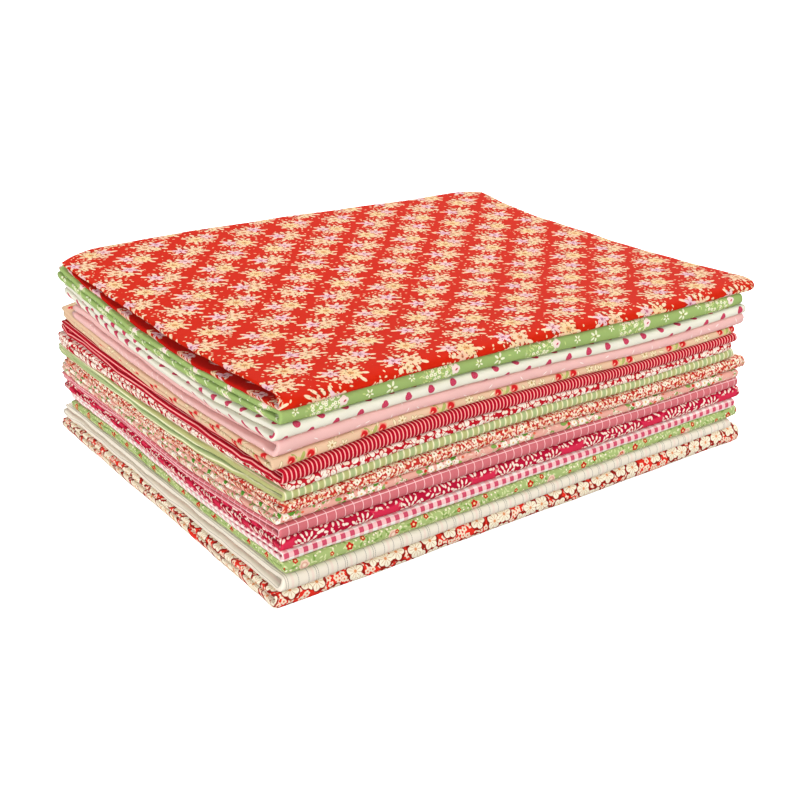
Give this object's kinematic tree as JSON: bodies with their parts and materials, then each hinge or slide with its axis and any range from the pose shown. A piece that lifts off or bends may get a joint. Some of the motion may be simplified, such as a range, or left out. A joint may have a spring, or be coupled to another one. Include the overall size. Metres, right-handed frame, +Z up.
{
  "type": "folded fabric bundle",
  "caption": "A neat pile of folded cuts of printed quilting cotton, each with a broad fold at the front and bunched folds at the left end.",
  "frame": {"origin": "middle of the bundle's flat underside", "axes": "+X along the broad front folds towards the selvage ends, +Y from the front folds towards the raw edges at the back, +Z up through the pile"},
  "size_m": [0.2841, 0.23, 0.0941],
  "materials": {
    "red_posy_cotton": "matt printed cotton, red with cream and peach posies",
    "green_sprig_cotton": "matt printed cotton, leaf green with sparse small white flowers",
    "white_drop_cotton": "matt printed cotton, warm white with raspberry drops",
    "pink_dash_cotton": "matt printed cotton, pink with tiny white dashes",
    "tan_flower_cotton": "matt printed cotton, tan with cream and red flowers",
    "red_stripe_cotton": "matt printed cotton, red with thin pale stripes",
    "red_petal_cotton": "matt printed cotton, red with dense cream petals",
    "green_stripe_cotton": "matt printed cotton, sage green with thin cream stripes",
    "red_ditsy_cotton": "matt printed cotton, soft red with dense cream sprigs",
    "pink_leaf_cotton": "matt printed cotton, pink with white blossoms and green leaves",
    "rose_line_cotton": "matt printed cotton, dusty rose with thin pale lines",
    "raspberry_spray_cotton": "matt printed cotton, raspberry with cream petal sprays",
    "pink_gingham_cotton": "matt cotton, white, pink and raspberry gingham",
    "green_bloom_cotton": "matt printed cotton, green with red and pale pink flowers",
    "cream_pinstripe_cotton": "matt printed cotton, cream with thin grey-brown pinstripes",
    "red_bloom_cotton": "matt printed cotton, red with dense cream flowers"
  },
  "bodies": {
    "root": {"red_posy_cloth": "red_posy_cotton", "green_sprig_cloth": "green_sprig_cotton", "white_drop_cloth": "white_drop_cotton", "pink_dash_cloth": "pink_dash_cotton", "tan_flower_cloth": "tan_flower_cotton", "red_stripe_cloth": "red_stripe_cotton", "red_petal_cloth": "red_petal_cotton", "green_stripe_cloth": "green_stripe_cotton", "red_ditsy_cloth": "red_ditsy_cotton", "pink_leaf_cloth": "pink_leaf_cotton", "rose_line_cloth": "rose_line_cotton", "raspberry_spray_cloth": "raspberry_spray_cotton", "pink_gingham_cloth": "pink_gingham_cotton", "green_bloom_cloth": "green_bloom_cotton", "cream_pinstripe_cloth": "cream_pinstripe_cotton", "red_bloom_cloth": "red_bloom_cotton"}
  },
  "joints": []
}
